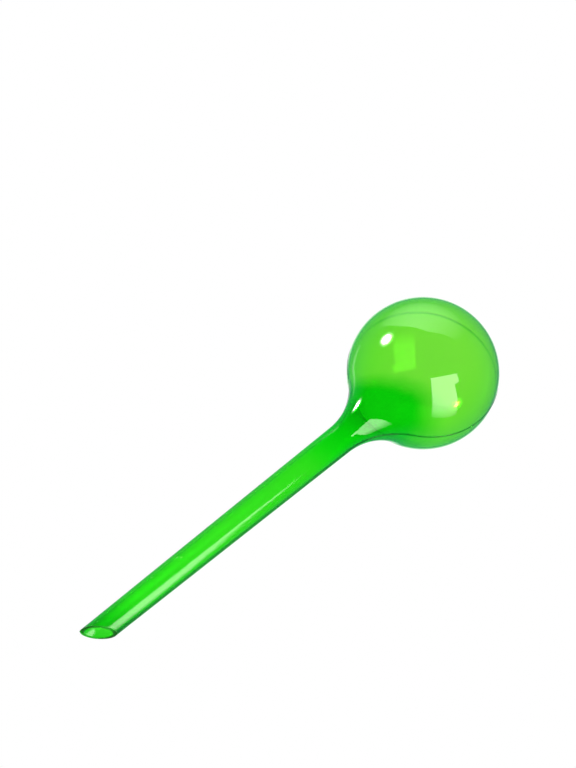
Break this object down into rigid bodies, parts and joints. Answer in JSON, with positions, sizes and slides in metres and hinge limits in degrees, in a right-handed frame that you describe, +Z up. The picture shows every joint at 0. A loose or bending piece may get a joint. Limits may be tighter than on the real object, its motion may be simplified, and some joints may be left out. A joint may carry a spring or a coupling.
{
  "type": "watering globe",
  "caption": "Hollow see-through ball on a tapered tube stem with a slanted tip. Filled with water and pushed into potting soil, it lets the water out slowly.",
  "frame": {"origin": "on the stem's axis at the soil line, where the straight stem ends and the neck begins to flare", "axes": "+Z up the stem to the ball, as the globe stands in a pot; the seam lies in the XZ plane and the tip comes to its point on the -X side"},
  "size_m": [0.0752, 0.075, 0.2599],
  "materials": {
    "shell_plastic": "clear tinted gloss",
    "seam_cement": "clear tinted gloss"
  },
  "bodies": {
    "root": {"front_shell": "shell_plastic", "rear_shell": "shell_plastic", "seam_weld": "seam_cement"}
  },
  "joints": []
}
